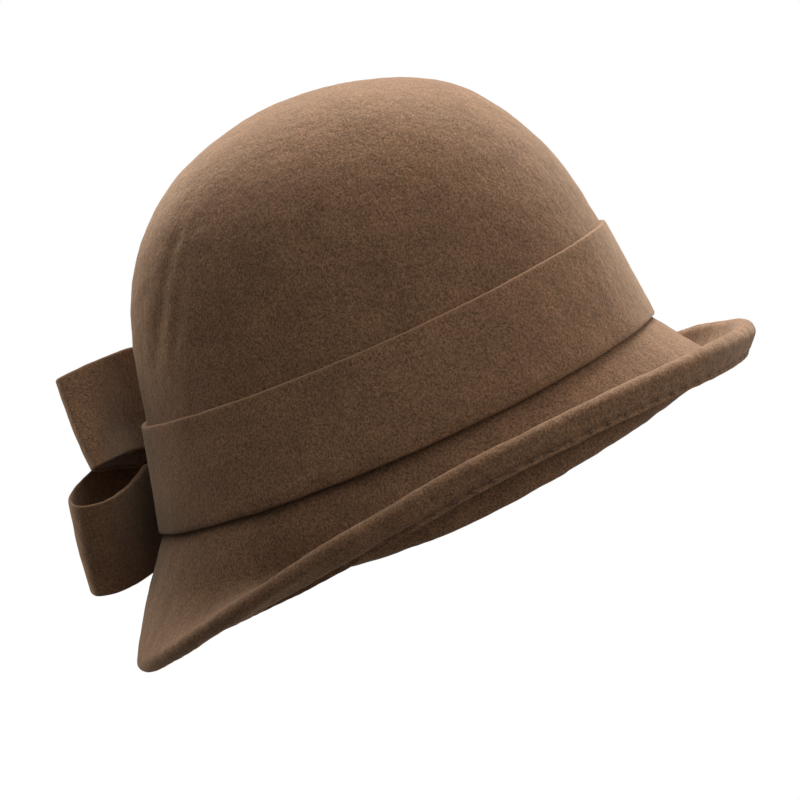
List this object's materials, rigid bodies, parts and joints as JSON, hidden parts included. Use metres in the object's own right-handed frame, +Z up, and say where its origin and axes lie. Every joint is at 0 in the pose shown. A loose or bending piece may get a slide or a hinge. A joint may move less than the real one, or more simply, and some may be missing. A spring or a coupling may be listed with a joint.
{
  "type": "felt hat",
  "caption": "Round-crowned wool felt hat with a wide felt band, a brim turned up in front and down at the back, and a felt bow behind.",
  "frame": {"origin": "middle of the head opening, at the headline where the crown meets the brim", "axes": "+X towards the front of the hat, +Y towards the wearer's left, +Z up the crown"},
  "size_m": [0.2793, 0.2349, 0.182],
  "materials": {
    "felt": "brushed wool felt, matt",
    "thread": "spun sewing thread",
    "ribbon": "ribbed grosgrain",
    "wire": "drawn spring wire",
    "sleeve": "plain crimped tube",
    "label": "blank woven tape"
  },
  "bodies": {
    "root": {"crown": "felt", "brim": "felt", "hat_band": "felt", "bow_upper_strip": "felt", "bow_lower_strip": "felt", "bow_knot": "felt", "brim_wire": "wire", "wire_joiner": "sleeve", "headline_seam": "thread", "hem_stitching": "thread", "band_tacks": "thread", "bow_tacks": "thread", "sweatband": "ribbon", "sweatband_stitching": "thread", "size_label": "label", "label_stitching": "thread"}
  },
  "joints": []
}
